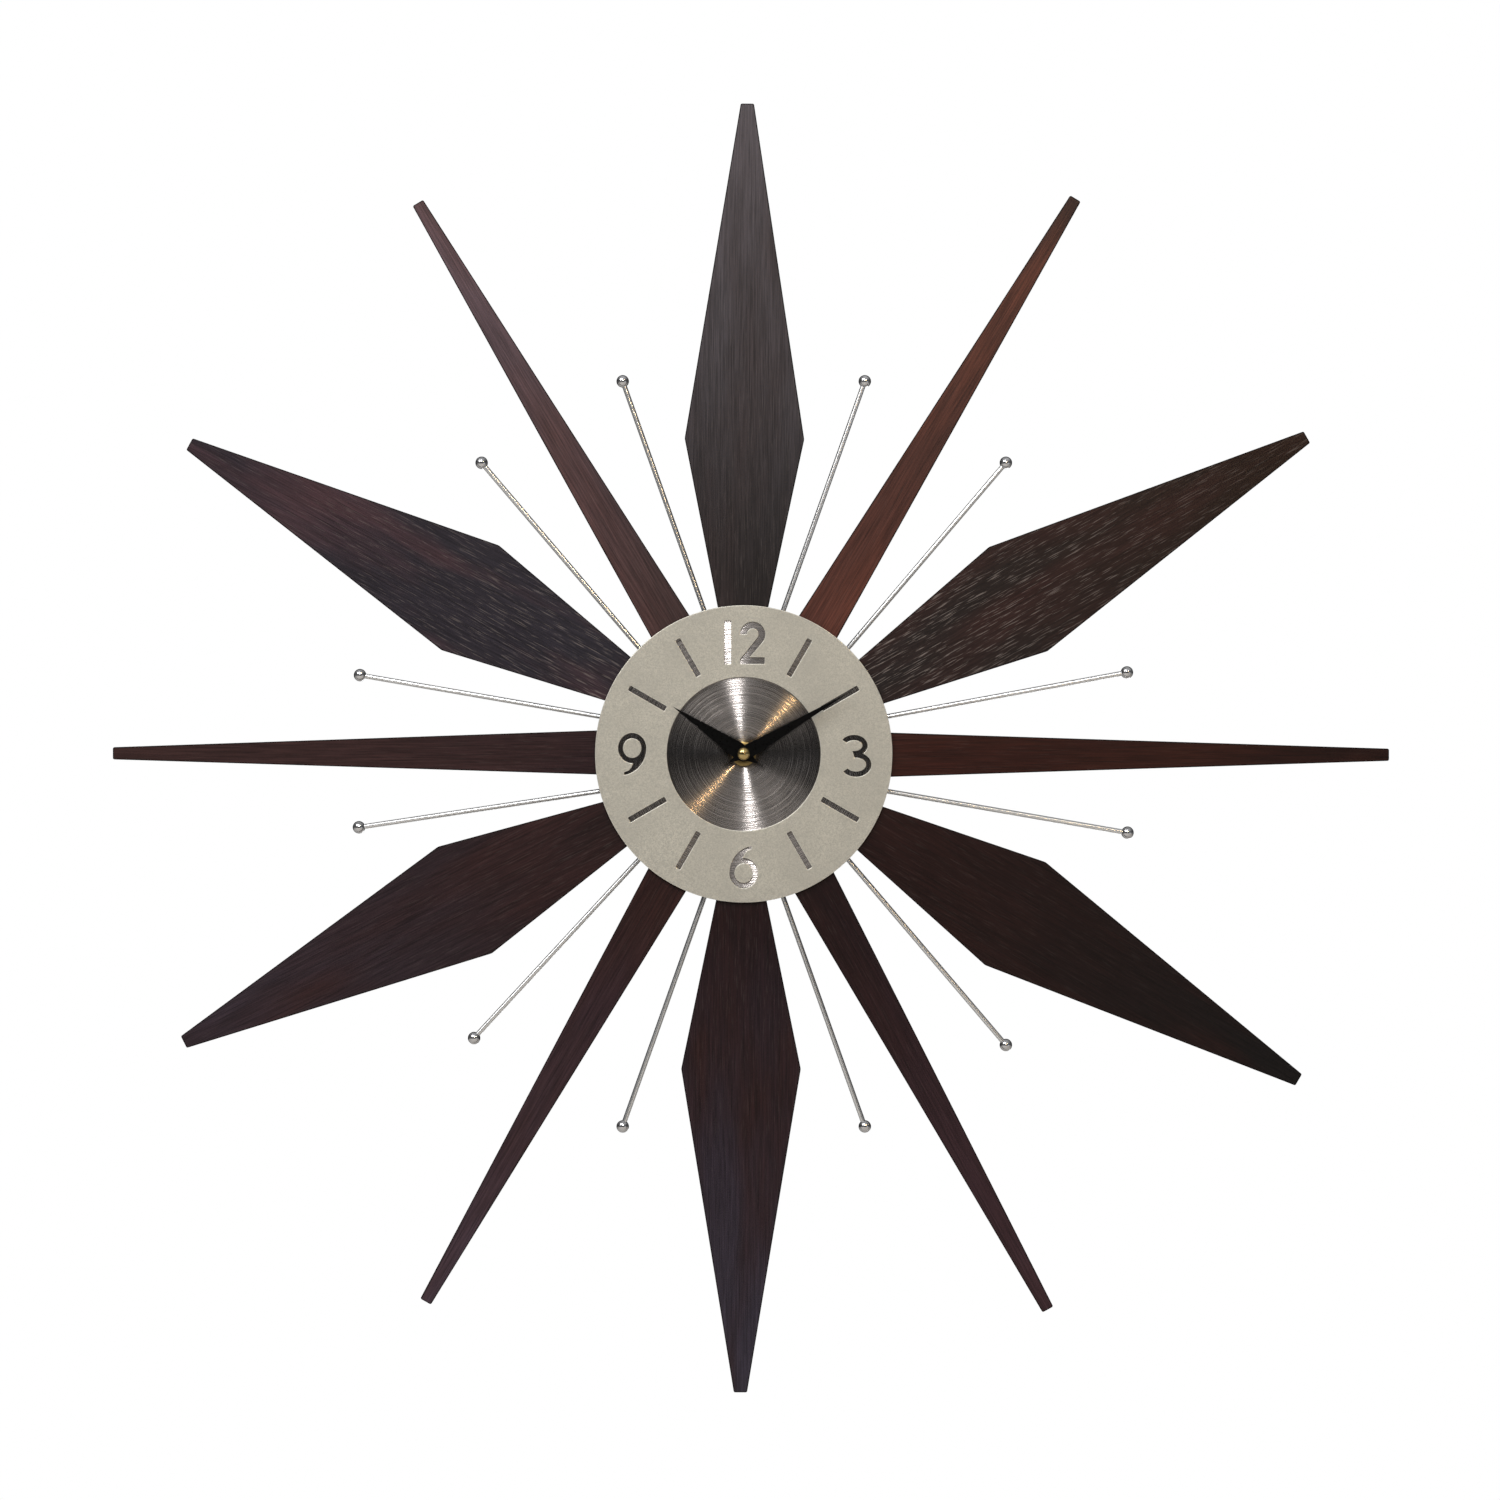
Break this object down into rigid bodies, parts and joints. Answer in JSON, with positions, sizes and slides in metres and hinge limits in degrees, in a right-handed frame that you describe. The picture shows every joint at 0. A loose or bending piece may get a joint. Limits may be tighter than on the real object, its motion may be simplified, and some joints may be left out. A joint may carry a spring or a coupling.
{
  "type": "sunburst wall clock",
  "caption": "Sunburst wall clock: wooden blades and ball-tipped rods round a pierced dial ring, with hands driven by a battery movement.",
  "frame": {"origin": "on the hands' shaft, at the flat back of the movement case, which lies on the wall", "axes": "+Z to 12 o'clock, +X to 3 o'clock as seen from the front, +Y into the wall; the dial faces -Y"},
  "size_m": [0.7535, 0.0453, 0.761],
  "materials": {
    "espresso_veneer": "dark espresso veneer, satin lacquer",
    "satin_steel": "satin drawn rod",
    "polished_steel": "bright polished ball",
    "champagne_enamel": "matte champagne-silver spray lacquer",
    "spun_steel": "concentric turned finish",
    "black_lacquer": "gloss black lacquer",
    "polished_brass": "polished",
    "raw_fibreboard": "raw sanded fibreboard, stained dark",
    "black_styrene": "moulded, fine spark texture",
    "white_acetal": "moulded acetal",
    "yellow_acetal": "moulded acetal, tinted",
    "ferrite": "moulded magnet",
    "silicon_steel": "stamped lamination",
    "copper_winding": "enamelled copper wire on a bobbin",
    "circuit_laminate": "solder-masked laminate",
    "nickel_strip": "nickel-plated spring strip",
    "battery_jacket": "plain printed jacket, no lettering"
  },
  "bodies": {
    "clock": {"blade_01": "espresso_veneer", "blade_02": "espresso_veneer", "blade_03": "espresso_veneer", "blade_04": "espresso_veneer", "blade_05": "espresso_veneer", "blade_06": "espresso_veneer", "blade_07": "espresso_veneer", "blade_08": "espresso_veneer", "blade_09": "espresso_veneer", "blade_10": "espresso_veneer", "blade_11": "espresso_veneer", "blade_12": "espresso_veneer", "rod_01": "satin_steel", "rod_02": "satin_steel", "rod_03": "satin_steel", "rod_04": "satin_steel", "rod_05": "satin_steel", "rod_06": "satin_steel", "rod_07": "satin_steel", "rod_08": "satin_steel", "rod_09": "satin_steel", "rod_10": "satin_steel", "rod_11": "satin_steel", "rod_12": "satin_steel", "ball_01": "polished_steel", "ball_02": "polished_steel", "ball_03": "polished_steel", "ball_04": "polished_steel", "ball_05": "polished_steel", "ball_06": "polished_steel", "ball_07": "polished_steel", "ball_08": "polished_steel", "ball_09": "polished_steel", "ball_10": "polished_steel", "ball_11": "polished_steel", "ball_12": "polished_steel", "hub_plate": "raw_fibreboard", "spun_disc": "spun_steel", "dial_ring": "champagne_enamel", "dial_nut": "polished_brass", "front_case": "black_styrene", "back_case": "black_styrene", "stator": "silicon_steel", "coil": "copper_winding", "circuit_board": "circuit_laminate", "battery": "battery_jacket", "contact_plus": "nickel_strip", "contact_minus": "nickel_strip"},
    "minute_work": {"cannon_wheel": "polished_brass", "minute_hand": "black_lacquer", "cap_nut": "polished_brass"},
    "hour_work": {"hour_wheel": "white_acetal", "hour_hand": "black_lacquer"},
    "motion_work": {"motion_wheel": "white_acetal"},
    "setting_work": {"setting_knob": "black_styrene"},
    "seconds_work": {"seconds_wheel": "yellow_acetal"},
    "rotor_work": {"rotor": "ferrite"},
    "intermediate_work": {"intermediate_wheel": "white_acetal"},
    "third_work": {"third_wheel": "white_acetal"},
    "centre_work": {"centre_wheel": "yellow_acetal"}
  },
  "joints": [
    {"name": "minute_turn", "type": "hinge", "parent": "clock", "child": "minute_work", "pos_m": [0, -0.02, 0], "axis": [0, 1, 0], "continuous": true},
    {"name": "hour_turn", "type": "hinge", "parent": "clock", "child": "hour_work", "pos_m": [0, -0.02, 0], "axis": [0, 1, 0], "continuous": true},
    {"name": "motion_turn", "type": "hinge", "parent": "clock", "child": "motion_work", "pos_m": [-0.01159, -0.013, 0.00311], "axis": [0, 1, 0], "continuous": true},
    {"name": "setting_turn", "type": "hinge", "parent": "clock", "child": "setting_work", "pos_m": [-0.0193, -0.006, 0.0123], "axis": [0, 1, 0], "continuous": true},
    {"name": "seconds_turn", "type": "hinge", "parent": "clock", "child": "seconds_work", "pos_m": [0, -0.02, 0], "axis": [0, 1, 0], "continuous": true},
    {"name": "rotor_turn", "type": "hinge", "parent": "clock", "child": "rotor_work", "pos_m": [-0.00274, -0.006, 0.01555], "axis": [0, 1, 0], "continuous": true},
    {"name": "intermediate_turn", "type": "hinge", "parent": "clock", "child": "intermediate_work", "pos_m": [-0.0042, -0.006, 0.00727], "axis": [0, 1, 0], "continuous": true},
    {"name": "third_turn", "type": "hinge", "parent": "clock", "child": "third_work", "pos_m": [0.01111, -0.009, 0.00298], "axis": [0, 1, 0], "continuous": true},
    {"name": "centre_turn", "type": "hinge", "parent": "clock", "child": "centre_work", "pos_m": [0, -0.02, 0], "axis": [0, 1, 0], "continuous": true}
  ],
  "couplings": [
    {"joint": "hour_turn", "follows": "minute_turn", "ratio": 0.083333},
    {"joint": "motion_turn", "follows": "minute_turn", "ratio": -0.33333},
    {"joint": "setting_turn", "follows": "minute_turn", "ratio": 1},
    {"joint": "intermediate_turn", "follows": "seconds_turn", "ratio": -5},
    {"joint": "rotor_turn", "follows": "seconds_turn", "ratio": 30},
    {"joint": "third_turn", "follows": "seconds_turn", "ratio": -0.13333},
    {"joint": "centre_turn", "follows": "seconds_turn", "ratio": 0.016667}
  ]
}
